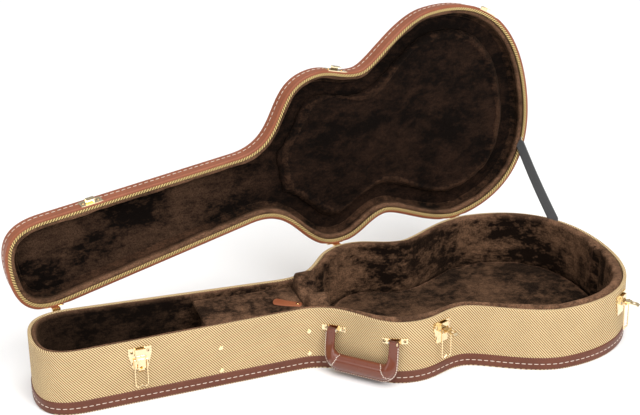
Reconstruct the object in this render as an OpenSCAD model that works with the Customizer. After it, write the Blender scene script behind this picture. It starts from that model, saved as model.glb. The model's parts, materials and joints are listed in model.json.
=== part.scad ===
// Hard-shell guitar case, shown standing open.
// X runs from the head end (-) to the tail end (+), +Y is the hinge side, +Z is up.
// The origin is the middle of the bottom face. All lid parts are drawn closed and
// then swung open about the hinge axis by open_lid().

/* [Outline] */
// Overall length of the shell
case_len = 1060; // [900:10:1200]
// Distance of the widest point of the lower bout from the middle of the case
lower_x = 340; // [300:5:370]
// Half width at the lower bout
lower_w = 212; // [180:1:230]
// Distance of the waist from the middle of the case
waist_x = 178; // [160:2:200]
// Half width at the waist
waist_w = 145; // [125:1:155]
// Distance of the upper bout from the middle of the case
upper_x = 88; // [80:2:100]
// Half width at the upper bout
upper_w = 169; // [160:1:180]
// Position of the start of the straight neck
neck_x = -90; // [-110:5:-80]
// Half width at the start of the neck
neck_w = 64; // [60:1:72]
// Half width at the head end
head_w = 79; // [74:1:90]
// Length of the rounding at the head end
head_round = 82; // [60:2:90]

/* [Base] */
// Height of the base's rim above the floor
rim_h = 112; // [100:1:130]
// Thickness of the bottom panel
panel_t = 6; // [4:0.5:8]
// Thickness of the side wall
wall_t = 6; // [5:0.5:8]
// Top edge of the leather binding
binding_top = 23; // [18:1:30]
// Thickness of the leather binding
binding_t = 1.5; // [1:0.1:2]

/* [Padding] */
// Lining thickness at the tail
pad_tail = 20; // [14:1:24]
// Lining thickness at the lower bout
pad_lower = 16; // [12:1:20]
// Lining thickness at the waist
pad_waist = 9; // [6:1:12]
// Lining thickness at the upper bout
pad_upper = 18; // [12:1:22]
// Lining thickness along the neck
pad_neck = 6; // [4:1:8]
// Thickness of the pad under the guitar's body
floor_pad_t = 10; // [6:1:14]

/* [Lid] */
// Depth of the lid's side wall
lid_d = 35; // [30:1:45]
// Rise of the arched panel at the lower bout
arch = 7; // [3:1:12]
// Opening angle in which the lid is drawn, held by the stay
lid_open = 92; // [88:1:95]

/* [Hinges] */
// Height of the hinge axis
hinge_z = 103; // [100:1:105]
// Where the hinge axis crosses the middle plane of the case
hinge_y = 162; // [161.5:0.5:164]
// Angle of the hinge axis to the case's length
hinge_angle = 9.09; // [9:0.01:9.2]

/* [Latches] */
// Positions of the three draw latches along the case
latch_x = [-362, 134, 465];
// Angle of each lever, 0 is pressed down
lever_angle = [0, 90, 90];
// Height of the lever's pin
lever_z = 87; // [86:0.5:88]
// Length of the wire bail
bail_len = 49; // [46:1:52]

/* [Handle] */
// Positions of the two handle brackets along the case
handle_x = [-29.4, 49.3];
// Height of the handle's pins
handle_z = 79; // [76:1:82]
// Distance from the pins down to the middle of the grip
handle_drop = 50; // [46:1:54]
// Radius of the grip
grip_r = 11.5; // [10:0.5:12]

/* [Inside] */
// Position of the compartment's partition at the head side
partition_head_x = -225.5; // [-235:1:-215]
// Position of the compartment's partition at the body side
partition_body_x = -70; // [-75:1:-69]
// Height of the underside of the compartment's lid
comp_lid_z = 95; // [85:1:98]
// Thickness of the compartment's lid
comp_lid_t = 7; // [5:1:8]
// Width of the neck rest along the case
rest_w = 34; // [26:1:36]

/* [Hidden] */
$fn = 32;

TWEED = [0.80, 0.68, 0.44];
LEATHER = [0.47, 0.25, 0.17];
PLUSH = [0.23, 0.14, 0.10];
BRASS = [0.90, 0.72, 0.36];
STEEL = [0.62, 0.62, 0.64];
WEBBING = [0.25, 0.25, 0.27];

// ---------------------------------------------------------------- outline
// Half of the outline, from the tail over the hinge side to the head, as cubic
// curves between knots. Each curve: [from, to, handle share, handle share, steps].
knots = [[case_len/2, 0], [lower_x, lower_w], [waist_x, waist_w], [upper_x, upper_w],
         [neck_x, neck_w], [head_round - case_len/2, head_w], [-case_len/2, 0]];
neck_dir = (knots[5] - knots[4]) / norm(knots[5] - knots[4]);
directions = [[0, 1], [-1, 0], [-1, 0], [-1, 0], neck_dir, neck_dir, [0, -1]];
curves = [[0, 1, 0.56, 0.34, 12], [1, 2, 0.37, 0.18, 10], [2, 3, 0.36, 0.40, 6],
          [3, 4, 0.46, 0.50, 12], [4, 5, 0.33, 0.33, 1], [5, 6, 0.51, 0.51, 9]];
padding = [pad_tail, pad_lower, pad_waist, pad_upper, pad_neck, pad_neck, pad_neck + 2];

function smooth(t) = t*t*(3 - 2*t);
function mix(a, b, t) = a + (b - a)*t;
function curve_pt(a, b, c, d, t) =
    pow(1 - t, 3)*a + 3*t*pow(1 - t, 2)*b + 3*t*t*(1 - t)*c + pow(t, 3)*d;
function curve_dir(a, b, c, d, t) =
    3*pow(1 - t, 2)*(b - a) + 6*t*(1 - t)*(c - b) + 3*t*t*(d - c);
// A station is [point, outward normal, padding thickness].
function station(k, t) =
    let(p = knots[k[0]], q = knots[k[1]], d = norm(q - p),
        a = p + directions[k[0]]*d*k[2], b = q - directions[k[1]]*d*k[3],
        v = curve_dir(p, a, b, q, t), u = v/norm(v))
    [curve_pt(p, a, b, q, t), [u[1], -u[0]], mix(padding[k[0]], padding[k[1]], smooth(t))];
stations = [for (k = curves, j = [0:k[4] - 1]) station(k, j/k[4]), station(curves[5], 1)];
n_st = len(stations);

// Outline moved inwards by d, plus the padding's thickness times f.
function inset_pt(s, d, f = 0) = s[0] - s[1]*(d + f*s[2]);
function outline(d = 0, f = 0) = concat(
    [for (s = stations) inset_pt(s, d, f)],
    [for (i = [n_st - 2:-1:1]) let(p = inset_pt(stations[i], d, f)) [p[0], -p[1]]]);
// The point and outward normal of the hinge-side outline at position x.
function wall_index(x) = [for (i = [0:n_st - 2])
    if (stations[i][0][0] >= x && stations[i + 1][0][0] < x) i][0];
function wall_at(x) =
    let(i = wall_index(x), a = stations[i][0], b = stations[i + 1][0],
        v = (b - a)/norm(b - a))
    [mix(a, b, (a[0] - x)/(a[0] - b[0])), [v[1], -v[0]]];

module slab(z0, z1, d = 0, f = 0) {
    translate([0, 0, z0]) linear_extrude(z1 - z0) polygon(outline(d, f));
}
// A wall that follows the outline, from inset d0 to inset d1.
module band(z0, z1, d0, d1, f1 = 0) {
    translate([0, 0, z0]) linear_extrude(z1 - z0) difference() {
        polygon(outline(d0));
        polygon(outline(d1, f1));
    }
}
// Puts children on the front wall: X to the right, -Y outwards.
module on_front(x) {
    w = wall_at(x);
    translate([w[0][0], -w[0][1], 0]) rotate([0, 0, atan2(w[1][0], w[1][1])]) children();
}
module on_back(x) {
    mirror([0, 1, 0]) on_front(x) children();
}
module along_x(r, len) {
    rotate([0, 90, 0]) cylinder(r = r, h = len, center = true);
}
module along_y(r, len) {
    rotate([90, 0, 0]) cylinder(r = r, h = len);
}
// Domed rivet head that starts depth under the surface it stands on.
module rivet(r, proud, depth = 1) {
    rotate([90, 0, 0]) translate([0, 0, -depth]) union() {
        cylinder(r = r, h = depth + proud*0.5);
        translate([0, 0, depth + proud*0.5]) cylinder(r = r*0.72, h = proud*0.5);
    }
}

// ---------------------------------------------------------------- lid swing
hinge_dir = [cos(hinge_angle), sin(hinge_angle), 0];
function hinge_y_at(x) = hinge_y + x*tan(hinge_angle);
module open_lid() {
    translate([0, hinge_y, hinge_z]) rotate(a = -lid_open, v = hinge_dir)
        translate([0, -hinge_y, -hinge_z]) children();
}
function cross_part(v) = cross(hinge_dir, v)*sin(-lid_open);
function opened(p) =
    let(c = [0, hinge_y, hinge_z], v = p - c)
    c + v*cos(lid_open) + cross_part(v) + hinge_dir*(hinge_dir*v)*(1 - cos(lid_open));

// ---------------------------------------------------------------- base shell
module base_panel() { color(TWEED) slab(0, panel_t); }
module base_wall() { color(TWEED) band(panel_t, rim_h, 0, wall_t); }
binding_low = 2.5;
module base_binding() { color(LEATHER) band(binding_low, binding_top, -binding_t, 0); }

floor_lining_t = 3;
lid_lining_t = 9;
floor_z = panel_t + floor_lining_t;
module base_floor_lining() { color(PLUSH) slab(panel_t, floor_z, wall_t); }

// The stay's steel tab sits between the wall and the lining.
stay_x = [499, 507];
tab_w = 24;
tab_h = 22;
tab_t = 1.6;
module stay_tab_space(x, z0, z1, grow = 0) {
    on_back(x) translate([-tab_w/2 - grow, wall_t, z0])
        cube([tab_w + 2*grow, tab_t + 2*grow, z1 - z0]);
}
module base_lining() {
    color(PLUSH) difference() {
        band(floor_z, rim_h, wall_t, wall_t, 1);
        stay_tab_space(stay_x[0], rim_h - tab_h - 1, rim_h + 1, 0.5);
    }
}

// ---------------------------------------------------------------- inside
rest_x = partition_body_x + 8;
pad_gap = 3;
module floor_pad() {
    color(PLUSH) intersection() {
        slab(floor_z, floor_z + floor_pad_t, wall_t + pad_gap, 1);
        translate([rest_x + rest_w + pad_gap, -300, 0]) cube([600, 600, 60]);
    }
}

// Saddle for the neck: low in the middle, a hump on each side.
rest_low = 103;
rest_high = 126;
rest_side = 110;
hump_y = 38;
hump_out = 64;
function rest_height(y) =
    let(a = abs(y))
    a < hump_y ? rest_low + (rest_high - rest_low)*smooth(a/hump_y)
               : rest_high - (rest_high - rest_side)*smooth(min(1, (a - hump_y)/(hump_out - hump_y)));
module neck_rest() {
    profile = concat([[-90, floor_z]],
                     [for (y = [-90, for (y = [-64:4:64]) y, 90]) [y, rest_height(y)]],
                     [[90, floor_z]]);
    color(PLUSH) difference() {
        intersection() {
            translate([rest_x, 0, 0]) rotate([90, 0, 90]) linear_extrude(rest_w) polygon(profile);
            slab(floor_z, rest_high + 5, wall_t, 1);
        }
        // room for the lining of the shut lid
        band(rim_h - 0.5, rest_high + 5, 0, wall_t + lid_lining_t + 1);
    }
}

partition_t = 6;
module partition(x) {
    intersection() {
        translate([x - partition_t/2, -120, floor_z])
            cube([partition_t, 240, comp_lid_z - 0.3 - floor_z]);
        slab(floor_z, rim_h, wall_t, 1);
    }
}
module compartment_partitions() {
    color(PLUSH) {
        partition(partition_head_x);
        partition(partition_body_x);
    }
}
stud_z = [29, 71];
module partition_studs() {
    color(BRASS) difference() {
        for (x = [partition_head_x, partition_body_x], z = stud_z) {
            on_front(x) translate([0, 0, z]) rivet(4, 1.6, 0);
            on_back(x) translate([0, 0, z]) rivet(4, 1.6, 0);
        }
        slab(0, rim_h, 0);
    }
}

comp_lid_x = [-244, partition_body_x + 6.5];
comp_hinge = [partition_head_x - partition_t/2 - 0.8, comp_lid_z];
comp_side_gap = 2;
module compartment_lid() {
    color(PLUSH) intersection() {
        translate([comp_lid_x[0], -120, comp_lid_z])
            cube([comp_lid_x[1] - comp_lid_x[0], 240, comp_lid_t]);
        slab(floor_z, rim_h, wall_t + comp_side_gap, 1);
    }
}
// Cloth hinge: a strip glued to the head side of the partition, under the lid.
module compartment_hinge_strip() {
    color(PLUSH) translate([partition_head_x - partition_t/2 - 0.5, -40, comp_lid_z - 22])
        cube([0.5, 80, 21.6]);
}
tab_rivet = [-76, -23];
tab_end = [-108, -5];
module pull_tab() {
    v = tab_end - tab_rivet;
    color(LEATHER) translate([tab_rivet[0], tab_rivet[1], comp_lid_z + comp_lid_t])
        rotate([0, 0, atan2(v[1], v[0])]) linear_extrude(2) union() {
            circle(r = 8);
            translate([norm(v) - 4, 0]) circle(r = 10);
            polygon([[0, -8], [norm(v) - 4, -10], [norm(v) - 4, 10], [0, 8]]);
        }
}
module pull_tab_rivet() {
    color(BRASS) translate([tab_rivet[0], tab_rivet[1], comp_lid_z + comp_lid_t + 2]) union() {
        cylinder(r = 3.2, h = 0.8);
        translate([0, 0, 0.8]) cylinder(r = 2.2, h = 0.6);
    }
}

// ---------------------------------------------------------------- draw latches
// Latch parts are drawn with X to the right, -Y outwards and the rim above.
plate_half = 19.5;
plate_low_half = 12.5;
plate_z = [62, 89, 101];
plate_y = 1.6;
housing_half = 8.5;
sheet = 1.2;
lever_y = -5.2;
lever_half = 7;
pin_r = 1.2;
fit_gap = 0.05;
bail_r = 1;
bail_half = 10.4;
bail_from_pin = [0.6, -7];
rivet_s = 13.7;
rivet_z = 93.5;

module latch_plate(i) {
    color(BRASS) difference() {
        on_front(latch_x[i]) difference() {
            union() {
                translate([0, 6, 0]) rotate([90, 0, 0]) linear_extrude(6 + plate_y)
                    polygon([[-plate_low_half, plate_z[0]], [plate_low_half, plate_z[0]],
                             [plate_half, plate_z[1]], [plate_half, plate_z[2]],
                             [-plate_half, plate_z[2]], [-plate_half, plate_z[1]]]);
                translate([-housing_half, -7.8, 83.5]) cube([2*housing_half, 7, 16.5]);
            }
            // open channel behind the housing's front
            translate([-housing_half + sheet, -7.8 + sheet, 80])
                cube([2*(housing_half - sheet), 7.8 - sheet - plate_y, 30]);
            // the front is cut away round the lever
            translate([-housing_half + sheet, -9, 80]) cube([2*(housing_half - sheet), 8 - plate_y + 1, 10.2]);
            translate([0, lever_y, lever_z]) along_x(pin_r + 0.02, 30);
            for (s = [-1, 1]) translate([s*13.5 - 0.8, -9, 70]) cube([1.6, 20, 6]);
        }
        slab(0, rim_h, 0);
    }
}
module latch_rivets() {
    color(BRASS) for (x = latch_x, s = [-1, 1])
        on_front(x) translate([s*rivet_s, -plate_y, rivet_z]) rivet(2.8, 1, 0);
}
module latch_pins() {
    color(BRASS) for (x = latch_x)
        on_front(x) translate([0, lever_y, lever_z]) along_x(pin_r, 2*housing_half + 1.6);
}
// Children are drawn relative to the lever's pin, with the lever pressed down.
module at_lever(i) {
    on_front(latch_x[i]) translate([0, lever_y, lever_z]) rotate([-lever_angle[i], 0, 0]) children();
}
module latch_lever(i) {
    color(BRASS) at_lever(i) difference() {
        union() {
            along_x(2.5, 2*lever_half);
            translate([-lever_half, -1.6, -13]) cube([2*lever_half, 1.6, 13]);
            translate([-5.2, -1.6, -25]) cube([10.4, 1.6, 12.5]);
            translate([-5.2, -3.6, -15]) cube([10.4, 2.6, 10]);
            for (s = [-1, 1]) translate([s*(lever_half - sheet/2) - sheet/2, -1.6, -10.5])
                cube([sheet, 4.2, 8.5]);
            // finger tab, curled outwards
            translate([0, -0.8, -25]) rotate([35, 0, 0]) translate([-5, -0.8, -4.5])
                cube([10, 1.6, 5]);
        }
        along_x(pin_r + fit_gap, 40);
        translate([0, bail_from_pin[0], bail_from_pin[1]]) along_x(bail_r + fit_gap, 40);
        translate([0, 10, -20.5]) along_y(2.6, 20);
    }
}
// Children are drawn relative to the bail's pin and stay upright.
module at_bail(i) {
    a = lever_angle[i];
    y = bail_from_pin[0]*cos(a) + bail_from_pin[1]*sin(a);
    z = -bail_from_pin[0]*sin(a) + bail_from_pin[1]*cos(a);
    on_front(latch_x[i]) translate([0, lever_y + y, lever_z + z]) children();
}
module bail_pin(i) { color(BRASS) at_bail(i) along_x(bail_r, 2*bail_half + 2.6); }
module wire(a, b) {
    v = b - a;
    translate([a[0], 0, a[1]]) rotate([0, atan2(v[0], v[1]), 0]) cylinder(r = bail_r, h = norm(v));
}
module latch_bail(i) {
    bend = 5;
    foot = bend - bail_len;
    notch = 3.5;
    color(BRASS) at_bail(i) difference() {
        union() for (s = [-1, 1]) {
            translate([s*bail_half, 0, 0]) along_x(2.2, 2);
            wire([s*bail_half, -1.5], [s*bail_half, foot]);
            translate([s*(bail_half - bend), 0, foot]) rotate([90, s > 0 ? 0 : 90, 0])
                rotate([0, 0, -90]) rotate_extrude(angle = 90) translate([bend, 0]) circle(r = bail_r);
            wire([s*(bail_half - bend), -bail_len], [0, notch - bail_len]);
            translate([s*(bail_half - bend), 0, -bail_len]) sphere(r = bail_r);
            translate([0, 0, notch - bail_len]) sphere(r = bail_r);
        }
        along_x(bail_r + fit_gap, 40);
    }
}

// ---------------------------------------------------------------- handle
handle_a = wall_at(handle_x[0])[0];
handle_b = wall_at(handle_x[1])[0];
handle_span = norm(handle_b - handle_a);
handle_turn = atan2(handle_a[1] - handle_b[1], handle_b[0] - handle_a[0]);
handle_y = -9;
handle_pin_r = 2;
arm_half = 7.2;
lug_gap = 7.8;
lug_t = 1.8;
bracket_t = 1.6;
grip_y = -17;
// Children are drawn with X along the handle, -Y outwards, origin at its left bracket.
module on_handle() {
    translate([handle_a[0], -handle_a[1], 0]) rotate([0, 0, handle_turn]) children();
}
module handle_bracket(i) {
    color(BRASS) difference() {
        union() {
            // plate bent to the wall
            intersection() {
                band(handle_z - 4.8, handle_z + 4.8, -bracket_t, 0);
                on_front(handle_x[i]) translate([-21, -20, 0]) cube([42, 40, rim_h]);
            }
            on_handle() translate([i*handle_span, 0, handle_z]) for (s = [-1, 1])
                translate([s*(lug_gap + lug_t/2) - lug_t/2, handle_y, -3.8]) union() {
                    cube([lug_t, 16, 7.6]);
                    translate([lug_t/2, 0, 3.8]) along_x(3.8, lug_t);
                }
        }
        on_handle() translate([i*handle_span, handle_y, handle_z]) along_x(handle_pin_r + 0.02, 40);
        slab(0, rim_h, 0);
    }
}
module handle_rivets() {
    color(BRASS) difference() {
        for (x = handle_x, s = [-1, 1])
            on_front(x + s*16.3*wall_at(x)[1][1]) translate([0, -bracket_t, handle_z]) rivet(3, 1.2, 0);
        slab(0, rim_h, -bracket_t);
    }
}
module handle_pins() {
    color(BRASS) on_handle() for (i = [0, 1])
        translate([i*handle_span, handle_y, handle_z]) along_x(handle_pin_r, 2*(lug_gap + lug_t) + 1);
}
module handle_arm(i) {
    strap_t = 7;
    strap_half = arm_half - 0.2;
    lean = atan2(handle_y - grip_y, handle_drop);
    color(LEATHER) on_handle() translate([i*handle_span, handle_y, handle_z]) difference() {
        union() {
            along_x(4.2, 2*arm_half);
            rotate([-lean, 0, 0]) translate([-strap_half, -strap_t/2, -handle_drop])
                cube([2*strap_half, strap_t, handle_drop]);
            translate([0, grip_y - handle_y, -handle_drop]) along_x(grip_r, 2*arm_half);
        }
        along_x(handle_pin_r + fit_gap, 40);
        translate([0, grip_y - handle_y, -handle_drop]) along_x(4, 40);
    }
}
module handle_grip() {
    color(LEATHER) on_handle() translate([handle_span/2, grip_y, handle_z - handle_drop]) difference() {
        along_x(grip_r, handle_span - 2*arm_half);
        along_x(4, handle_span);
    }
}
module handle_core() {
    color(STEEL) on_handle() translate([handle_span/2, grip_y, handle_z - handle_drop])
        along_x(4, handle_span + 2*arm_half);
}

// ---------------------------------------------------------------- hinges
// Each hinge sits where the outline runs parallel to the hinge axis.
hinge_x = [-471, 66, 324];
hinge_half = 16;
knuckle_r = 2.8;
hinge_pin_r = 1.4;
lid_knuckle = 7;
leaf_t = 1.4;
// Children are drawn with X along the axis and +Y outwards, from the axis itself.
module at_hinge(i) {
    translate([hinge_x[i], hinge_y_at(hinge_x[i]), hinge_z]) rotate([0, 0, hinge_angle]) children();
}
function hinge_gap(i) =
    ([hinge_x[i], hinge_y_at(hinge_x[i])] - wall_at(hinge_x[i])[0])
    * [-sin(hinge_angle), cos(hinge_angle)];
module base_knuckles(i) {
    g = hinge_gap(i);
    for (s = [-1, 1]) {
        w = hinge_half - lid_knuckle - 0.3;
        translate([s*(hinge_half - w/2), 0, 0]) {
            along_x(knuckle_r, w);
            translate([w/2, 0, 0]) rotate([0, -90, 0]) linear_extrude(w)
                polygon([[-13, -g - 3], [-13, leaf_t - g], [-2, knuckle_r - 0.5], [0, knuckle_r - 0.5],
                         [0, -g - 3]]);
        }
    }
}
module hinge_leaf_base(i) {
    g = hinge_gap(i);
    color(BRASS) difference() {
        at_hinge(i) difference() {
            union() {
                translate([-hinge_half, -g - 4, -40]) cube([2*hinge_half, 4 + leaf_t, 36]);
                base_knuckles(i);
            }
            along_x(hinge_pin_r + 0.02, 60);
        }
        slab(0, rim_h, 0);
    }
}
module hinge_leaf_lid(i) {
    g = hinge_gap(i);
    z0 = rim_h - hinge_z + 2;
    color(BRASS) open_lid() difference() {
        at_hinge(i) difference() {
            union() {
                translate([-hinge_half, -g - 4, z0]) cube([2*hinge_half, 4 + leaf_t, 26]);
                along_x(knuckle_r, 2*lid_knuckle);
                translate([lid_knuckle, 0, 0]) rotate([0, -90, 0]) linear_extrude(2*lid_knuckle)
                    polygon([[0, 0.4 - g], [z0 + 5, 0.4 - g], [z0 + 5, leaf_t - g], [z0, leaf_t - g],
                             [2, knuckle_r - 0.5], [0, knuckle_r - 0.5]]);
            }
            along_x(hinge_pin_r + fit_gap, 60);
        }
        slab(rim_h, rim_h + lid_d, 0);
    }
}
module hinge_pins() {
    color(STEEL) for (i = [0:2]) at_hinge(i) along_x(hinge_pin_r, 2*hinge_half + 1);
}
hinge_rivet_s = 10;
module hinge_rivet(i, z) {
    at_hinge(i) for (s = [-1, 1])
        translate([s*hinge_rivet_s, leaf_t - hinge_gap(i), z]) mirror([0, 1, 0]) rivet(2.8, 1, 0);
}
module hinge_rivets_base() {
    color(BRASS) for (i = [0:2], z = [-20, -33]) hinge_rivet(i, z);
}
module hinge_rivets_lid() {
    color(BRASS) open_lid() for (i = [0:2]) hinge_rivet(i, rim_h - hinge_z + 20);
}

// ---------------------------------------------------------------- lid stay
stay_w = 20;
stay_t = 1.6;
module stay_anchor_base() {
    color(STEEL) intersection() {
        stay_tab_space(stay_x[0], rim_h - tab_h, rim_h);
        slab(0, rim_h, wall_t);
    }
}
module stay_anchor_lid() {
    color(STEEL) open_lid() intersection() {
        stay_tab_space(stay_x[1], rim_h + rim_gap, rim_h + tab_h);
        slab(rim_h, rim_h + lid_d, wall_t);
    }
}
// A corner of the strap's end: side s along the wall, distance d from the wall's face.
function stay_corner(x, s, d, z) =
    let(w = wall_at(x), t = [-w[1][1], w[1][0]], p = w[0] - w[1]*(wall_t + d) + t*s*stay_w/2)
    [p[0], p[1], z];
function stay_ring(x, z) = [for (c = [[-1, 0], [1, 0], [1, stay_t], [-1, stay_t]])
    stay_corner(x, c[0], c[1], z)];
module stay_strap() {
    low = stay_ring(stay_x[0], rim_h);
    high = [for (p = stay_ring(stay_x[1], rim_h - 0.6)) opened(p)];
    side = [for (i = [0:3]) each let(j = (i + 1) % 4) [[i, i + 4, j + 4], [i, j + 4, j]]];
    ends = [[0, 1, 2], [0, 2, 3], [6, 5, 4], [7, 6, 4]];
    color(WEBBING) polyhedron(concat(low, high), concat(ends, side));
}

// ---------------------------------------------------------------- lid
lid_top = rim_h + lid_d;
lid_panel_t = 5;
ceiling_t = 4;
lid_gap = 0.6;
rim_gap = 0.1;
module lid_wall() {
    color(TWEED) open_lid() union() {
        band(rim_h + rim_gap, rim_h + 2, 0, wall_t);
        band(rim_h + 2, lid_top - lid_panel_t, binding_t, wall_t);
    }
}
module lid_binding() {
    color(LEATHER) open_lid() union() {
        band(rim_h + 2, lid_top, 0, binding_t);
        band(lid_top, lid_top + 1.2, 0, 12);
    }
}
// A panel over the outline moved in by d, flat along a border and arched inside it.
// Its underside arches by low_rise and its top by top_rise, in share of the half width.
module arched_panel(d, border, z, t, low_rise, top_rise) {
    steps = 8;
    cols = n_st - 2;
    // one column of points across the panel at a station, from -Y to +Y
    function column(i, z0, rise) =
        let(o = inset_pt(stations[i], d), b = inset_pt(stations[i], d + border))
        concat([[o[0], -o[1], z0]],
               [for (j = [0:steps]) let(k = 2*j/steps - 1) [b[0], b[1]*k, z0 + rise*b[1]*(1 - k*k)]],
               [[o[0], o[1], z0]]);
    rows = steps + 3;
    size = cols*rows + 4;
    function tips(z0) = [for (e = [0, n_st - 1], m = [d, d + border])
        let(p = inset_pt(stations[e], m)) [p[0], 0, z0]];
    function sheet_pts(z0, rise) = concat([for (i = [1:cols]) each column(i, z0, rise)], tips(z0));
    function at(i, j) = i*rows + j;
    function end_faces(i, outer, inner, flip) = [for (f = concat(
        [for (j = [1:rows - 3]) [at(i, j), at(i, j + 1), inner]],
        [[at(i, 0), at(i, 1), inner], [at(i, 0), inner, outer],
         [at(i, rows - 2), at(i, rows - 1), outer], [at(i, rows - 2), outer, inner]]))
        flip ? [f[0], f[2], f[1]] : f];
    tail = end_faces(0, cols*rows, cols*rows + 1, false);
    head = end_faces(cols - 1, cols*rows + 2, cols*rows + 3, true);
    middle = [for (i = [0:cols - 2], j = [0:rows - 2]) each
        [[at(i, j), at(i + 1, j), at(i + 1, j + 1)], [at(i, j), at(i + 1, j + 1), at(i, j + 1)]]];
    low = concat(tail, head, middle);
    top = [for (f = low) [f[0] + size, f[2] + size, f[1] + size]];
    rim = concat([cols*rows], [for (i = [0:cols - 1]) at(i, rows - 1)], [cols*rows + 2],
                 [for (i = [cols - 1:-1:0]) at(i, 0)]);
    m = len(rim);
    side = [for (i = [0:m - 1]) each let(a = rim[i], b = rim[(i + 1) % m])
        [[a, b, b + size], [a, b + size, a + size]]];
    polyhedron(concat(sheet_pts(z, low_rise), sheet_pts(z + t, top_rise)), concat(low, top, side));
}
rise_share = arch/lower_w;
module lid_panel() {
    color(TWEED) open_lid()
        arched_panel(binding_t, 14, lid_top - lid_panel_t, lid_panel_t, rise_share, rise_share);
}
module lid_ceiling() {
    color(PLUSH) open_lid()
        arched_panel(wall_t, 14, lid_top - lid_panel_t - ceiling_t, ceiling_t, 0, rise_share);
}
module lid_lining() {
    color(PLUSH) open_lid() difference() {
        band(rim_h + lid_gap, lid_top - lid_panel_t - ceiling_t, wall_t, wall_t + lid_lining_t);
        stay_tab_space(stay_x[1], rim_h - 1, rim_h + tab_h + 1, 0.5);
    }
}
lid_pad_inset = 44;
lid_pad_t = 7;
module lid_pad() {
    z1 = lid_top - lid_panel_t - ceiling_t;
    color(PLUSH) open_lid() intersection() {
        slab(z1 - lid_pad_t, z1, lid_pad_inset);
        translate([-12, -300, rim_h]) cube([600, 600, 60]);
    }
}

// Keeper: a riveted plate with a raised bridge that the bail hooks over.
keeper_z = [114, 137];
module keeper(i) {
    color(BRASS) open_lid() difference() {
        on_front(latch_x[i]) union() {
            translate([-plate_half, -plate_y, keeper_z[0]])
                cube([2*plate_half, 6, keeper_z[1] - keeper_z[0]]);
            difference() {
                translate([-7.5, -8.4, keeper_z[0] + 3]) cube([15, 7, 13]);
                translate([-9, -8.4 + sheet, keeper_z[0] + 2]) cube([18, 8.4 - sheet - plate_y, 12.8]);
            }
        }
        slab(rim_h, lid_top, 0);
    }
}
module keeper_rivets() {
    color(BRASS) open_lid() for (x = latch_x, s = [-1, 1])
        on_front(x) translate([s*rivet_s, -plate_y, keeper_z[0] + 12]) rivet(2.8, 1, 0);
}

base_panel();
base_wall();
base_binding();
base_lining();
base_floor_lining();
floor_pad();
neck_rest();
compartment_partitions();
partition_studs();
compartment_hinge_strip();
compartment_lid();
pull_tab();
pull_tab_rivet();
latch_plate(0);  // latch_plate_1
latch_plate(1);  // latch_plate_2
latch_plate(2);  // latch_plate_3
latch_rivets();
latch_pins();
latch_lever(0);  // latch_lever_1
latch_lever(1);  // latch_lever_2
latch_lever(2);  // latch_lever_3
bail_pin(0);  // bail_pin_1
bail_pin(1);  // bail_pin_2
bail_pin(2);  // bail_pin_3
latch_bail(0);  // latch_bail_1
latch_bail(1);  // latch_bail_2
latch_bail(2);  // latch_bail_3
handle_bracket(0);  // handle_bracket_1
handle_bracket(1);  // handle_bracket_2
handle_rivets();
handle_pins();
handle_core();
handle_grip();
handle_arm(0);  // handle_arm_1
handle_arm(1);  // handle_arm_2
hinge_leaf_base(0);  // hinge_leaf_base_1
hinge_leaf_base(1);  // hinge_leaf_base_2
hinge_leaf_base(2);  // hinge_leaf_base_3
hinge_rivets_base();
hinge_pins();
stay_anchor_base();
stay_strap();
stay_anchor_lid();
hinge_leaf_lid(0);  // hinge_leaf_lid_1
hinge_leaf_lid(1);  // hinge_leaf_lid_2
hinge_leaf_lid(2);  // hinge_leaf_lid_3
hinge_rivets_lid();
lid_wall();
lid_panel();
lid_binding();
lid_lining();
lid_ceiling();
lid_pad();
keeper(0);  // keeper_1
keeper(1);  // keeper_2
keeper(2);  // keeper_3
keeper_rivets();
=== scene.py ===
import json
import math

import bpy
import numpy as np
from mathutils import Matrix, Vector, noise


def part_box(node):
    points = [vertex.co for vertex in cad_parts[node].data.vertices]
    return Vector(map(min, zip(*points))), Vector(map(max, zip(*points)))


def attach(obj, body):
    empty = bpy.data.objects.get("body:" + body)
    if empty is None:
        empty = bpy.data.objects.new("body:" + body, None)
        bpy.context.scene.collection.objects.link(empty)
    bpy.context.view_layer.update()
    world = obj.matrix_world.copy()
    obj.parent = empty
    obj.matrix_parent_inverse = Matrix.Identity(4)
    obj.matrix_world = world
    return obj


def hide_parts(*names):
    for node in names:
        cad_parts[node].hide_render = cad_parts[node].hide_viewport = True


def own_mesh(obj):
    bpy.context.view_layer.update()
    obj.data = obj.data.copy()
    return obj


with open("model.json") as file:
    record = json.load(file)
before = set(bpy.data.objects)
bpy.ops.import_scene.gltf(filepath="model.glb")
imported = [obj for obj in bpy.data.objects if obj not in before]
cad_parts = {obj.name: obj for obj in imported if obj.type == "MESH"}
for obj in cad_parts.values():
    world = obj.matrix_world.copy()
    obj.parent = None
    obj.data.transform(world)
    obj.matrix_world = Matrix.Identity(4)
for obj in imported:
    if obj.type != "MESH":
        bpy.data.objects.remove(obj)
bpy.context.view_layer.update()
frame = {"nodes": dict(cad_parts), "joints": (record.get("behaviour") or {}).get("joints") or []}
MM = 0.001


# ------------------------ small tools
def unit(v):
    return v / np.linalg.norm(v, axis=-1, keepdims=True)


def clamp(t):
    return np.clip(t, 0, 1)


def ease(t):
    """Soft step from 0 to 1."""
    return t * t * (3 - 2 * t)


def run(points):
    """Distance along a line of points, at each of them."""
    return np.concatenate([[0], np.cumsum(np.linalg.norm(np.diff(points, axis=0), axis=1))])


def sample(marks, s, values):
    """Rows of values, known at the distances s, read at marks."""
    return np.stack([np.interp(marks, s, c) for c in np.asarray(values).T], 1)


def add_object(name, data):
    thing = bpy.data.objects.new(name, data)
    bpy.context.scene.collection.objects.link(thing)
    return thing


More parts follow.
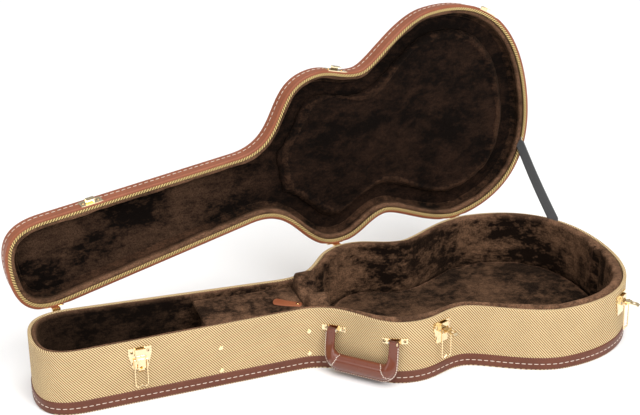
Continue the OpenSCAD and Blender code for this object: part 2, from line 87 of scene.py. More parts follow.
# ------------------------ places from the frame
def joint(name):
    """Position in mm and unit axis of a joint."""
    j = next(j for j in frame["joints"] if j["name"] == name)
    return np.array(j["pos_m"]) / MM, unit(np.array(j["axis"]))


def box(node):
    """Lowest and highest corner of a CAD node, in mm."""
    low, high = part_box(node)
    return np.array(low) / MM, np.array(high) / MM


RIM = box("base_wall")[1][2]
WALL = 6.0
FLOOR = box("base_floor_lining")[1][2]
BINDING_LOW, BINDING_TOP = box("base_binding")[0][2], box("base_binding")[1][2]
LID_DEPTH = 35.0
LID_TOP = RIM + LID_DEPTH
CEILING = LID_TOP - 9.0
LID_LINING = 9.0
LID_OPEN = 92.0
HINGE_POS, HINGE_DIR = joint("lid_hinge")
HINGE_DIR = HINGE_DIR * np.sign(HINGE_DIR[0])


def swing(points, degrees):
    """Points in mm, turned about the lid's hinge line."""
    a = math.radians(degrees)
    v = np.asarray(points, float) - HINGE_POS
    along = (v @ HINGE_DIR)[..., None] * HINGE_DIR
    return HINGE_POS + v * math.cos(a) + np.cross(HINGE_DIR, v) * math.sin(a) + along * (1 - math.cos(a))


def opened(points):
    """Points of the shut lid, swung open to where the lid stands."""
    return swing(points, -LID_OPEN)


def shut(points):
    """The way back from opened()."""
    return swing(points, LID_OPEN)


# ------------------------ camera and light
# Turn about the vertical, tilt down and roll; place in metres; lens in mm and its shift.
CAM_AZ, CAM_EL, CAM_ROLL = (math.radians(a) for a in (18.085, 19.754, -0.864))
CAM_POS = Vector((-0.6967, -2.0252, 1.1722))
CAM_LENS, CAM_SHIFT = 76.56, (0.0103, -0.1206)


def make_camera():
    data = bpy.data.cameras.new("camera")
    data.sensor_width, data.lens = 36, CAM_LENS
    data.shift_x, data.shift_y = CAM_SHIFT
    camera = add_object("camera", data)
    turn = (Matrix.Rotation(-CAM_AZ, 4, "Z") @ Matrix.Rotation(math.pi / 2 - CAM_EL, 4, "X")
            @ Matrix.Rotation(CAM_ROLL, 4, "Z"))
    camera.matrix_world = Matrix.Translation(CAM_POS) @ turn
    bpy.context.scene.camera = camera


def aim(lamp, way):
    lamp.rotation_mode = "QUATERNION"
    lamp.rotation_quaternion = Vector(way).to_track_quat("-Z", "Y")


def area_light(name, here, target, size, watts):
    data = bpy.data.lights.new(name, "AREA")
    data.shape, data.size, data.energy = "DISK", size, watts
    lamp = add_object(name, data)
    lamp.location = here
    aim(lamp, Vector(target) - Vector(here))


def make_studio():
    """A sky that is brighter overhead, a wide soft sun and two disk lamps."""
    world = bpy.data.worlds.new("studio")
    bpy.context.scene.world = world
    world.use_nodes = True
    tree = world.node_tree
    where = tree.nodes.new("ShaderNodeTexCoord")
    axes = tree.nodes.new("ShaderNodeSeparateXYZ")
    height = tree.nodes.new("ShaderNodeMapRange")
    for key, value in (("From Min", 0.1), ("From Max", 0.75), ("To Min", 0.12), ("To Max", 0.8)):
        height.inputs[key].default_value = value
    tree.links.new(where.outputs["Generated"], axes.inputs[0])
    tree.links.new(axes.outputs[2], height.inputs["Value"])
    tree.links.new(height.outputs[0], tree.nodes["Background"].inputs["Strength"])
    tree.nodes["Background"].inputs["Color"].default_value = (1, 1, 1, 1)
    sun = bpy.data.lights.new("sky_panel", "SUN")
    sun.energy, sun.angle = 1.5, math.radians(50)
    aim(add_object("sky_panel", sun), (0.05, 0.35, -1))
    area_light("key", (0.9, -2.6, 1.9), (0, 0, 0.1), 1.4, 44)
    area_light("fill", (-2.2, -1.6, 1.3), (0.0, 0, 0.2), 1.6, 14)
    bpy.context.scene.view_settings.view_transform = "Standard"


# ------------------------ materials
def rgb(r, g, b):
    """Linear colour from 0-255 display values."""
    c = [v / 255 for v in (r, g, b)]
    return tuple(v / 12.92 if v <= 0.04045 else ((v + 0.055) / 1.055) ** 2.4 for v in c) + (1.0,)


def toned(colour, by):
    """A linear colour, lighter or darker."""
    return tuple(c * by for c in colour[:3]) + (1.0,)


class Shader:
    """A material with its nodes; a node, one of its outputs or a plain value feeds an input."""

    def __init__(self, name, **settings):
        self.material = bpy.data.materials.new(name)
        self.material.use_nodes = True
        self.tree = self.material.node_tree
        self.surface = self.tree.nodes["Principled BSDF"]
        for key, value in settings.items():
            self.surface.inputs[key.replace("_", " ")].default_value = value

    def add(self, kind, inputs=(), **settings):
        node = self.tree.nodes.new("ShaderNode" + kind)
        for key, value in settings.items():
            setattr(node, key, value)
        for key, value in dict(inputs).items():
            self.feed(node, key, value)
        return node

    def feed(self, node, key, value):
        if isinstance(value, bpy.types.Node):
            value = value.outputs[0]
        if isinstance(value, bpy.types.NodeSocket):
            self.tree.links.new(value, node.inputs[key])
        else:
            node.inputs[key].default_value = value

    def math(self, operation, a, b=0.0):
        return self.add("Math", {0: a, 1: b}, operation=operation)

    def times(self, a, b):
        return self.math("MULTIPLY", a, b)

    def plus(self, a, b):
        return self.math("ADD", a, b)

    def mix(self, a, b, share):
        node = self.add("Mix", {0: share}, data_type="RGBA")
        self.feed(node, 6, a)
        self.feed(node, 7, b)
        return node.outputs[2]

    def ramp(self, value, low, high, start=0.0, end=1.0):
        """Goes from start to end as value goes from low to high."""
        return self.add("MapRange", {"Value": value, "From Min": low, "From Max": high,
                                     "To Min": start, "To Max": end})

    def wave(self, value, period):
        """Goes from 0 to 1 and back once in each period."""
        return self.ramp(self.math("SINE", self.times(value, 2 * math.pi / period)), -1, 1)

    def coords(self, kind="Object"):
        return self.add("TexCoord").outputs[kind]

    def axis(self, k, kind="Object"):
        return self.add("SeparateXYZ", {0: self.coords(kind)}).outputs[k]

    def noise(self, scale, detail=3.0, coords=None):
        inputs = {"Vector": coords or self.coords(), "Scale": scale, "Detail": detail}
        return self.add("TexNoise", inputs).outputs[0]

    def bump(self, height, depth, strength=1.0, after=None):
        inputs = {"Height": height, "Distance": depth, "Strength": strength}
        if after is not None:
            inputs["Normal"] = after
        return self.add("Bump", inputs)

    def finish(self, colour=None, roughness=None, normal=None):
        for key, value in (("Base Color", colour), ("Roughness", roughness), ("Normal", normal)):
            if value is not None:
                self.feed(self.surface, key, value)
        return self.material


def tweed(name, flat=False, cream=(228, 204, 156), tan=(104, 58, 16), pitch=0.0034):
    """Diagonal beaded stripes; laid out along the wall, or in plan where flat is set."""
    s = Shader(name, Roughness=0.82, Specular_IOR_Level=0.3)
    u, v = (s.axis(k, "Object" if flat else "UV") for k in (0, 1))
    lean = math.radians(41)

    def turned(a, b):
        return s.plus(s.times(u, a), s.times(v, b))

    def tone(colour, by):
        return rgb(*(c * by for c in colour))

    stripe = s.wave(turned(math.cos(lean), math.sin(lean)), pitch)
    beads = s.wave(turned(-math.sin(lean), math.cos(lean)), pitch * 0.62)
    thread = s.times(stripe, s.ramp(beads, 0.0, 1.0, 0.7, 1.0))
    fuzz = s.noise(1500, 2)
    patches = s.ramp(s.noise(14, 3), 0.35, 0.65)
    pale = s.mix(tone(cream, 1.0), tone(cream, 0.95), patches)
    deep = s.mix(tone(tan, 0.9), tone(tan, 1.2), fuzz)
    colour = s.mix(deep, pale, s.ramp(thread, 0.10, 0.50))
    height = s.plus(thread, s.times(fuzz, 0.25))
    return s.finish(colour, s.ramp(fuzz, 0.0, 1.0, 0.7, 0.95), s.bump(height, 0.0005, 0.7))


def leather(name, dark, light, roughness, coat=0.0, scuff=0.15):
    """Pores and creases, soft clouds of tone and a few lighter scuffs."""
    s = Shader(name, Specular_IOR_Level=0.3, Coat_Weight=coat, Coat_Roughness=0.14)
    pores = s.add("TexVoronoi", {"Vector": s.coords(), "Scale": 620.0}).outputs[0]
    creases = s.noise(180, 5)
    clouds = s.ramp(s.noise(24, 3), 0.25, 0.75)
    scuffs = s.ramp(s.noise(95, 6), 0.6, 0.76)
    colour = s.mix(s.mix(dark, light, clouds), toned(light, 1.35), s.times(scuffs, scuff))
    colour = s.mix(colour, dark, s.times(s.ramp(pores, 0.55, 0.95), 0.6))
    rough = s.ramp(creases, 0.25, 0.75, roughness - 0.06, roughness + 0.12)
    grain = s.bump(creases, 0.0002, 0.4, s.bump(pores, 0.0001, 0.6))
    return s.finish(colour, rough, grain)


def plush(name, dark=(24, 14, 8), light=(112, 82, 62), tip=None, neck_painted_shade=0.0, neck_painted_light=None,
          sheen=0.22):
    """Short brushed pile: patches where the nap lies another way, and a fibre grain.

    With tip, the first 20 mm of the piece's own layout, the roll along a rim, takes that colour as a
    painted sheen highlight.
    The neck shade share paints shade over the pile in the head's end of the case, and the neck light
    colour paints light on the lighter patches of the nap there.
    """
    s = Shader(name, Roughness=0.95, Sheen_Weight=sheen, Sheen_Roughness=0.4,
               Sheen_Tint=rgb(186, 142, 108), Specular_IOR_Level=0.08)
    bent = s.add("Mapping", {"Vector": s.coords(), "Scale": (1.0, 1.0, 1.7)}).outputs[0]
    wide = s.noise(10, 3, bent)
    brushed = s.noise(48, 5, bent)
    tufts = s.noise(150, 4, bent)
    fibre = s.noise(1100, 2)
    strand = s.noise(420, 3)
    nap = s.plus(s.times(wide, 0.45), s.times(brushed, 0.33))
    nap = s.plus(nap, s.times(tufts, 0.22))
    shade = s.mix(rgb(*dark), rgb(*light), s.ramp(nap, 0.44, 0.60))
    # Painted shade: the pile darkens towards the head's end of the case, along x.
    if neck_painted_shade:
        down = s.ramp(s.axis(0), -0.2, -0.3)
        shade = s.mix(shade, rgb(14, 8, 5), s.times(down, neck_painted_shade))
    # Painted light: lighter patches on the nap in the lid's neck, where light falls.
    if neck_painted_light is not None:
        up = s.times(s.ramp(s.axis(0), -0.04, -0.20), s.ramp(nap, 0.45, 0.64))
        shade = s.mix(shade, rgb(*neck_painted_light), s.times(up, 0.8))
    # Painted highlight: the sheen on the roll along the rim, over the first 20 mm of the layout, patchy
    # with the nap.
    if tip is not None:
        near = s.ramp(s.axis(1, "UV"), 0.022, 0.012)
        sheen_share = s.plus(s.times(s.ramp(nap, 0.42, 0.60), 0.5), 0.38)
        shade = s.mix(shade, rgb(*tip), s.times(near, sheen_share))
    grain = s.plus(s.times(fibre, 0.5), s.times(strand, 0.5))
    deep = s.mix(shade, rgb(12, 7, 4), 0.72)
    colour = s.mix(deep, shade, s.ramp(grain, 0.38, 0.55))
    pile = s.bump(fibre, 0.0008, 0.7)
    pile = s.bump(strand, 0.0018, 0.6, pile)
    return s.finish(colour, None, s.bump(brushed, 0.004, 0.6, pile))


def metal(name, colour, roughness):
    s = Shader(name, Metallic=1.0)
    smear = s.noise(70, 4)
    rough = s.ramp(smear, 0.3, 0.7, roughness * 0.7, roughness * 1.5)
    tint = s.mix(colour, toned(colour, 0.86), s.ramp(s.noise(160, 3), 0.4, 0.75))
    return s.finish(tint, rough, s.bump(s.noise(2600, 2), 0.00004, 0.35))


def thread(name):
    s = Shader(name, Roughness=0.7, Sheen_Weight=0.2)
    twist = s.add("TexWave", {"Vector": s.coords(), "Scale": 420.0, "Distortion": 1.5}).outputs[1]
    colour = s.mix(rgb(204, 180, 162), rgb(240, 228, 214), twist)
    return s.finish(colour, None, s.bump(twist, 0.0002, 0.6))


def webbing(name):
    """Woven tape: ribs along it and picks across, from the piece's own layout."""
    s = Shader(name, Roughness=0.75, Sheen_Weight=0.15)
    ribs = s.wave(s.axis(1, "UV"), 0.0017)
    picks = s.wave(s.axis(0, "UV"), 0.0024)
    weave = s.times(ribs, picks)
    colour = s.mix(rgb(38, 38, 39), rgb(90, 90, 91), s.plus(weave, s.noise(900, 2)))
    return s.finish(colour, None, s.bump(weave, 0.0004, 0.7))


def make_materials():
    return {
        "tweed": tweed("tweed"),
        "tweed_flat": tweed("tweed_flat", flat=True),
        "tweed_edge": tweed("tweed_edge", cream=(218, 188, 126), tan=(66, 46, 20), pitch=0.0040),
        "leather": leather("binding_leather", rgb(96, 53, 38), rgb(110, 63, 45), 0.42),
        "lid_leather": leather("lid_leather", rgb(136, 76, 50), rgb(152, 90, 62), 0.4),
        "handle": leather("handle_leather", rgb(104, 50, 31), rgb(112, 57, 36), 0.3, coat=0.6, scuff=0.05),
        "tab": leather("tab_leather", rgb(126, 68, 42), rgb(152, 88, 56), 0.4),
        # Walls: tip paints a sheen highlight on the rim roll, and the neck shade share paints shade at the
        # head's end.
        "plush": plush("plush", light=(132, 98, 74), tip=(138, 102, 78), neck_painted_shade=0.8),
        "plush_bare": plush("plush_bare", light=(122, 90, 68)),
        # A darker copy for the floor and the floor pad: painted shade at the bottom of the case, with more
        # painted shade at the head's end.
        "plush_floor": plush("plush_floor", (17, 10, 6), (100, 73, 54), neck_painted_shade=0.85),
        # A lighter copy: painted highlight along the floor pad's ridge and the tail seam's welt.
        "plush_painted_highlight": plush("plush_painted_highlight", (44, 29, 20), (118, 86, 66)),
        # A lighter copy of the lid's shaded plush: painted highlight along the lid pad's ridge.
        "plush_edge_painted_highlight": plush("plush_edge_painted_highlight", (15, 9, 6), (70, 48, 35), sheen=0.12),
        # A darker copy, painted shade for the lid's lining, with a painted sheen highlight on its lip
        # roll.
        "plush_dark": plush("plush_deep", (16, 10, 6), (78, 54, 39), tip=(138, 102, 78)),
        # A darker copy, painted shade for the lid's ceiling and pad, with patches of painted light in the
        # lid's neck.
        "plush_shaded_lid": plush("plush_shaded_lid", (11, 6, 4), (47, 31, 22), neck_painted_light=(88, 65, 49), sheen=0.1),
        "brass": metal("brass", rgb(249, 226, 184), 0.10),
        # Darker, rougher brass for the rivets' wells: painted shade in the hollow.
        "well": metal("rivet_well_shaded", rgb(120, 84, 40), 0.5),
        "steel": metal("steel", rgb(180, 180, 184), 0.28),
        "thread": thread("thread"),
        "webbing": webbing("webbing"),
    }


# ------------------------ outline of the case
# Hinge side in plan from tail to head, in mm: knots, how far each span's two curve handles reach
# as a share of the span, and the wall's padding at each knot.
KNOTS = np.array([(530, 0), (340, 212), (178, 145), (88, 169), (-90, 64), (-448, 79), (-530, 0)], float)
HANDLES = [(0.56, 0.34), (0.37, 0.18), (0.36, 0.40), (0.46, 0.50), (0.33, 0.33), (0.51, 0.51)]
PADDING = [20, 16, 9, 18, 6, 6, 8]
RING, SPAN_STEPS = 760, 160


def half_outline():
    """Tail to head along the hinge side: points and padding thickness."""
    straight = unit(KNOTS[5] - KNOTS[4])
    ways = np.array([(0, 1), (-1, 0), (-1, 0), (-1, 0), straight, straight, (0, -1)])
    points, pads = [], []
    for i, (ha, hb) in enumerate(HANDLES):
        p, q = KNOTS[i], KNOTS[i + 1]
        size = np.linalg.norm(q - p)
        a, b = p + ways[i] * size * ha, q - ways[i + 1] * size * hb
        t = np.linspace(0, 1, SPAN_STEPS, endpoint=False)[:, None]
        points.append((1 - t) ** 3 * p + 3 * t * (1 - t) ** 2 * a + 3 * t * t * (1 - t) * b + t ** 3 * q)
        pads.append(PADDING[i] + (PADDING[i + 1] - PADDING[i]) * ease(t[:, 0]))
    return np.vstack([*points, KNOTS[-1:]]), np.append(np.concatenate(pads), PADDING[-1])


class Outline:
    """The whole outline at even steps, from the hinge-side waist over head, front and tail."""

    def __init__(self):
        points, pads = half_outline()
        loop = np.vstack([points, (points * [1, -1])[-2:0:-1]])
        pad = np.concatenate([pads, pads[-2:0:-1]])
        start = int(np.argmin(np.hypot(*(loop - KNOTS[2]).T)))
        loop, pad = np.roll(loop, -start, 0), np.roll(pad, -start)
        closed = np.vstack([loop, loop[:1]])
        s = run(closed)
        self.length = s[-1]
        self.s = np.linspace(0, self.length, RING, endpoint=False)
        self.points = sample(self.s, s, closed)
        self.pad = np.interp(self.s, s, np.append(pad, pad[0]))
        self.way = unit(np.roll(self.points, -1, 0) - np.roll(self.points, 1, 0))
        self.normal = np.stack([self.way[:, 1], -self.way[:, 0]], 1)

    def inset(self, d, f=0.0):
        """The outline moved inwards by d and the share f of the padding."""
        return self.points - self.normal * (np.asarray(d) + f * self.pad)[..., None]


ring = Outline()


# ------------------------ mesh helpers
def add_mesh(name, verts, faces, material, uv=None):
    """An object from points in mm; uv holds one pair in mm per face corner."""
    mesh = bpy.data.meshes.new(name)
    mesh.from_pydata((np.asarray(verts) * MM).tolist(), [], faces)
    if uv is not None:
        layer = mesh.uv_layers.new(name="layout")
        layer.data.foreach_set("uv", (np.asarray(uv, float) * MM).ravel())
    mesh.materials.append(material)
    mesh.polygons.foreach_set("use_smooth", [True] * len(mesh.polygons))
    mesh.update()
    return add_object(name, mesh)


def grid_faces(n, m, around, across):
    """Quads of an n by m grid, as index pairs that still count on where the grid closes."""
    i, j = np.indices((n if around else n - 1, m if across else m - 1)).reshape(2, -1)
    return np.stack([np.stack([i, i + 1, i + 1, i], 1), np.stack([j, j, j + 1, j + 1], 1)], 2)


def add_grid(name, grid, material, plan, wrapped):
    """A mesh from a grid of points, closed both ways where wrapped is set; plan is its flat layout."""
    n, m = grid.shape[:2]
    corners = grid_faces(n, m, wrapped, wrapped)
    faces = (corners[..., 0] % n) * m + corners[..., 1] % m
    uv = plan[corners[..., 0], corners[..., 1]]
    return add_mesh(name, grid.reshape(-1, 3), faces.tolist(), material, uv.reshape(-1, 2))


def rough(points, scale, amount, seed):
    """Smooth noise at each point, in mm."""
    flat = np.asarray(points, float).reshape(-1, 3)
    shift = Vector((seed * 7.1, seed * 3.3, seed * 5.7))
    values = [noise.noise(Vector(p) / scale + shift) for p in flat]
    return np.array(values).reshape(np.shape(points)[:-1]) * amount


def ring_sweep(name, profile, material, lid=False, wobble=None):
    """Carries a profile of (inset, share of padding, height) points round the outline."""
    grid = np.empty((RING, len(profile), 3))
    for j, (d, f, z) in enumerate(profile):
        grid[:, j, :2] = ring.inset(d, f)
        grid[:, j, 2] = z
    if wobble is not None:
        grid = wobble(grid)
    flat = np.array([(d + f * 12, z) for d, f, z in profile])
    flat = np.vstack([flat, flat[:1]])
    if lid:
        grid = opened(grid)
    plan = np.stack(np.meshgrid(np.append(ring.s, ring.length), run(flat), indexing="ij"), -1)
    return add_grid(name, grid, material, plan, True)


def arc(cx, cz, rx, rz, start, end, count):
    """Profile points along an ellipse's arc round inset cx and height cz, angles in degrees."""
    a = np.radians(np.linspace(start, end, count))
    return [(cx + rx * math.cos(t), 0, cz + rz * math.sin(t)) for t in a]


def stack_faces(base, rings, sides):
    """Quads and the two end caps of a stack of closed rings whose points are numbered from base."""
    faces = []
    for k in range(base, base + (rings - 1) * sides, sides):
        for a in range(sides):
            b = (a + 1) % sides
            faces.append([k + a, k + b, k + sides + b, k + sides + a])
    last = base + (rings - 1) * sides
    return faces + [list(range(base, base + sides))[::-1], list(range(last, last + sides))]


def stitches(name, places, ways, outs, length, radius, body, material):
    """A row of short thread loops: each lies along its way and stands a little out of the surface."""
    rings, sides = 9, 6
    t = np.linspace(-1, 1, rings)
    fat = np.sqrt(np.clip(1 - np.abs(t) ** 5.0, 0.04, 1))
    verts, faces = [], []
    for p, w, o in zip(places, ways, outs):
        side = np.cross(w, o)
        base = len(verts)
        for k in range(rings):
            centre = p + w * t[k] * length / 2 - o * radius * 0.9 * t[k] ** 8
            for a in np.arange(sides) * 2 * math.pi / sides:
                verts.append(centre + radius * fat[k] * (side * math.cos(a) * 1.15 + o * math.sin(a)))
        faces += stack_faces(base, rings, sides)
    piece = add_mesh(name, np.array(verts), faces, material)
    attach(piece, body)


SEAM_PITCH, STITCH_SHARE, THREAD_RADIUS = 10.6, 0.75, 0.62


def ring_stitches(name, d, z, body, material, lid=False):
    """Stitches round the outline at an inset and height, with even spacing."""
    count = int(round(ring.length / SEAM_PITCH))
    s = (np.arange(count) + 0.5) * ring.length / count

    def at(values, height=0.0):
        flat = sample(s, np.append(ring.s, ring.length), np.vstack([values, values[:1]]))
        return np.column_stack([flat, np.full(count, height)])

    places, outs, ways = at(ring.inset(d), z), at(ring.normal), at(ring.way)
    if lid:
        tips, ends, places = opened(places + outs), opened(places + ways), opened(places)
        outs, ways = tips - places, ends - places
    stitches(name, places, ways, outs, SEAM_PITCH * STITCH_SHARE, THREAD_RADIUS, body, material)


def place(piece, body, slot, *nodes):
    """Puts a piece on its body and hides the CAD nodes that it stands for; slot, its finish's slot, is not
    used.
    """
    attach(piece, body)
    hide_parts(*nodes)


# ------------------------ shell
RIM_ROUND, LID_LIP = 1.6, 8.0
LID_ARCH, WIDEST = 7.0, 212.0


def make_base_shell(mats):
    """Tweed wall with a softly turned rim; its inner face goes down behind the lining."""
    outer = [(0, 0, BINDING_LOW), (0, 0, 8), (0, 0, 60), (0, 0, RIM - 12)]
    over = arc(RIM_ROUND, RIM - RIM_ROUND, RIM_ROUND, RIM_ROUND, 180, 90, 5)
    back = arc(WALL - 1.2, RIM - 1.2, 1.2, 1.2, 90, 0, 4)
    inner = [(WALL, 0, RIM - 14), (WALL, 0, 8), (WALL, 0, BINDING_LOW)]
    wall = ring_sweep("base_wall_tweed", outer + over + back + inner, mats["tweed"])
    place(wall, "base", "tweed_shell", "base_wall")


def make_lid_shell(mats):
    """Side wall of the lid, with the lip that shows as a tweed strip inside its leather edge."""
    low = RIM + 0.1
    outer = arc(3.2, low + 1.0, 1.0, 1.0, 180, 270, 4)
    lip = arc(LID_LIP - 1.0, low + 1.0, 1.0, 1.0, 270, 360, 4)
    wall = [(LID_LIP, 0, low + 3), (WALL, 0, low + 3.2), (WALL, 0, LID_TOP - 5),
            (2.2, 0, LID_TOP - 5), (2.2, 0, low + 3)]
    piece = ring_sweep("lid_wall_tweed", outer + lip + wall, mats["tweed_edge"], lid=True)
    place(piece, "lid", "tweed_shell", "lid_wall")


def hinge_side(inset):
    """The places x, in order, and half widths of the outline moved inwards."""
    back = ring.inset(inset)[ring.points[:, 1] >= 0]
    return back[np.argsort(back[:, 0])].T


def cross_grid(inset, along=260, across=64):
    """Points in plan that fill the moved-in outline, as rows from the front to the hinge side."""
    xs, halves = hinge_side(inset)
    t = (1 - np.cos(np.linspace(0, math.pi, along))) / 2
    x = xs[0] + (xs[-1] - xs[0]) * (t * 0.55 + np.linspace(0, 1, along) * 0.45)
    half = np.interp(x, xs, halves)
    half[0] = half[-1] = 0.4
    k = np.sin(np.linspace(-math.pi / 2, math.pi / 2, across))
    k = 0.6 * k + 0.4 * np.linspace(-1, 1, across)
    return np.stack([np.repeat(x[:, None], across, 1), half[:, None] * k], -1)


def edge_distance(points, edge):
    """Distance from each point in plan to a closed line of points."""
    flat = points.reshape(-1, 2)
    best = np.full(len(flat), 1e9)
    for p in edge:
        np.minimum(best, np.hypot(flat[:, 0] - p[0], flat[:, 1] - p[1]), out=best)
    return best.reshape(points.shape[:-1])


def make_panel(name, inset, height, material, lid):
    """A sheet over the outline; height(points, distance to the edge) gives its z."""
    plan = cross_grid(inset)
    z = height(plan, edge_distance(plan, ring.inset(inset)))
    grid = np.concatenate([plan, z[..., None]], -1)
    if lid:
        grid = opened(grid)
    return add_grid(name, grid, material, plan, False)


def make_panels(mats):
    """The lid's arched outer panel, with a thickness, and the tweed bottom panel's finish."""
    def arched(plan, distance):
        half = np.interp(plan[..., 0], *hinge_side(0)) + 1e-3
        share = clamp(np.abs(plan[..., 1]) / half)
        edge = clamp(distance / 24)
        return LID_TOP + LID_ARCH / WIDEST * half * (1 - share ** 2) * ease(edge)

    panel = make_panel("lid_panel_tweed", 1.5, arched, mats["tweed"], lid=True)
    thick = panel.modifiers.new("thickness", "SOLIDIFY")
    thick.thickness, thick.offset = 3 * MM, -1
    place(panel, "lid", "tweed_shell", "lid_panel")
    frame["nodes"]["base_panel"].data.materials[0] = mats["tweed_flat"]


def leather_band(z0, z1, puff, seam_z, count):
    """Profile of a leather strip on the wall: rolled edges, and a dip where it is stitched."""
    points = []
    for t in np.linspace(0, 1, count):
        z = z0 + (z1 - z0) * t
        edge = min(t, 1 - t) * (z1 - z0)
        swell = puff * math.sqrt(1 - (1 - min(edge / 1.6, 1)) ** 2)
        dip = 0.45 * math.exp(-((z - seam_z) / 1.1) ** 2)
        points.append((-swell + dip, 0, z))
    return points


BASE_SEAM_Z = BINDING_LOW + 0.44 * (BINDING_TOP - BINDING_LOW)
LID_SEAM_Z = LID_TOP - 11.5
LID_RIDGE_Z = LID_TOP - 16.0
FLAP = 12.0


def make_bindings(mats):
    foot = BINDING_LOW - 1.2
    base = leather_band(foot, BINDING_TOP, 1.5, BASE_SEAM_Z, 22)
    under = [(0.3, 0, BINDING_TOP), (0.3, 0, foot)]
    strip = ring_sweep("base_binding_leather", base + under, mats["leather"])
    place(strip, "base", "leather_binding", "base_binding")
    ring_stitches("base_binding_stitching", -1.25, BASE_SEAM_Z, "base", mats["thread"])

    low = RIM + 0.15
    edge = [(3.4, 0, low + 0.9), (3.0, 0, low + 0.1), (1.8, 0, low - 0.05), (0.4, 0, low),
            (-1.2, 0, low + 0.5), (-2.1, 0, low + 1.7), (-2.2, 0, low + 3.0), (-1.5, 0, low + 4.4),
            (-0.4, 0, low + 5.4)]
    wall = [(d + 0.3, f, z) for d, f, z in leather_band(RIM + 6.4, LID_TOP - 3, 0.3, LID_SEAM_Z, 24)]
    wall = [(d - 0.5 * math.exp(-((z - LID_RIDGE_Z) / 1.3) ** 2), f, z) for d, f, z in wall]
    corner = arc(3.0, LID_TOP - 1.8, 3.0, 3.0, 180, 90, 7)
    flap = [(7, 0, LID_TOP + 1.2), (FLAP - 0.8, 0, LID_TOP + 1.1), (FLAP, 0, LID_TOP + 0.5),
            (FLAP, 0, LID_TOP - 1.0), (2.0, 0, LID_TOP - 1.0), (1.9, 0, low + 2)]
    profile = edge + wall + corner + flap
    flat = 0.0
    for name in ("latch_plate", "hinge_leaf_base"):
        for k in (1, 2, 3):
            centre = sum(box("%s_%d" % (name, k))) / 2
            gap = np.hypot(*(ring.points - centre[:2]).T)
            flat = np.maximum(flat, np.exp(-(gap / 24) ** 6))
    proud = np.array([min(d, 0.0) if k < len(edge) else 0.0 for k, (d, _, _) in enumerate(profile)])
    strip = ring_sweep("lid_binding_leather", profile, mats["lid_leather"], lid=True,
                       wobble=lambda grid: push_wall(grid, flat[:, None] * proud))
    place(strip, "lid", "leather_binding", "lid_binding")
    ring_stitches("lid_binding_stitching", 0.1, LID_SEAM_Z, "lid", mats["thread"], lid=True)


# ------------------------ plush lining
def pile(grid, amount, seed):
    """Uneven height of brushed plush, in mm, for a grid of points."""
    return rough(grid, 46, 2.0 * amount, seed) + rough(grid, 15, 0.9 * amount, seed + 3)


def plan_pile(plan, amount, seed):
    """The same for points in plan."""
    return pile(np.concatenate([plan, np.zeros_like(plan[..., :1])], -1), amount, seed)


def folds(grid, stretch, scale, amount, seed):
    """Soft folds that run down a swept wall; a small stretch keeps them straight."""
    down = grid[..., 2] * stretch
    places = [np.repeat(ring.s[:, None], grid.shape[1], 1), down, np.zeros_like(down)]
    return rough(np.stack(places, -1), scale, amount, seed)


def push_wall(grid, sizes):
    """Moves the points of a swept wall along the wall's normal by sizes in mm."""
    grid = grid.copy()
    grid[..., 0] += ring.normal[:, None, 0] * sizes
    grid[..., 1] += ring.normal[:, None, 1] * sizes
    return grid


# Where in plan the base lining's wall is drawn in, or stands out where the depth in mm is negative.
PLEATS = ((-44, 80, 3.5), (-34, 80, 4.5), (-20, 80, -3.0), (-10, 80, 4.5), (8, 80, 5.5), (18, 80, -2.5),
          (30, 80, 4.5), (180, 80, 2.5), (300, 80, 3.0), (530, 4, 5.0), (530, -8, 6.0), (529, -22, -4.5),
          (525, -52, -2.5), (506, -110, 3.0))
TAIL_SEAM, WELT_RADIUS = (530, -13), 2.0


def outline_place(x, y):
    """The outline's point nearest to x, on y's side of the case, as an index."""
    return (np.abs(ring.points[:, 0] - x) + 0.05 * np.abs(ring.points[:, 1] - y)).argmin()


def roll_rise():
    """How far the rolls stand over the rim, in mm: plump at the body, low at the neck."""
    return 0.6 + 3.4 * ease(clamp((ring.points[:, 0] + 60) / 140))


def make_welt(name, lining, count, here, material):
    """A thin covered seam down the lining's face, on the tail's panel edge."""
    column = (points_of(lining) / MM).reshape(RING, count, 3)[here, 8:-4]
    column = column - np.array([*ring.normal[here], 0]) * 0.6
    path = sample(np.linspace(0, len(column) - 1, 40), np.arange(len(column)), column)
    kernel = np.ones(5) / 5
    path[2:-2] = np.stack([np.convolve(c, kernel, "valid") for c in path.T], 1)
    side, out = np.array([*ring.way[here], 0]), np.array([*ring.normal[here], 0])
    turn = np.linspace(0, 2 * math.pi, 10, endpoint=False)
    sections = np.stack([path + WELT_RADIUS * (side * math.cos(a) + out * math.sin(a)) for a in turn], 1)
    welt = tube(name, path, sections, material)
    place(welt, "base", "plush_lining")


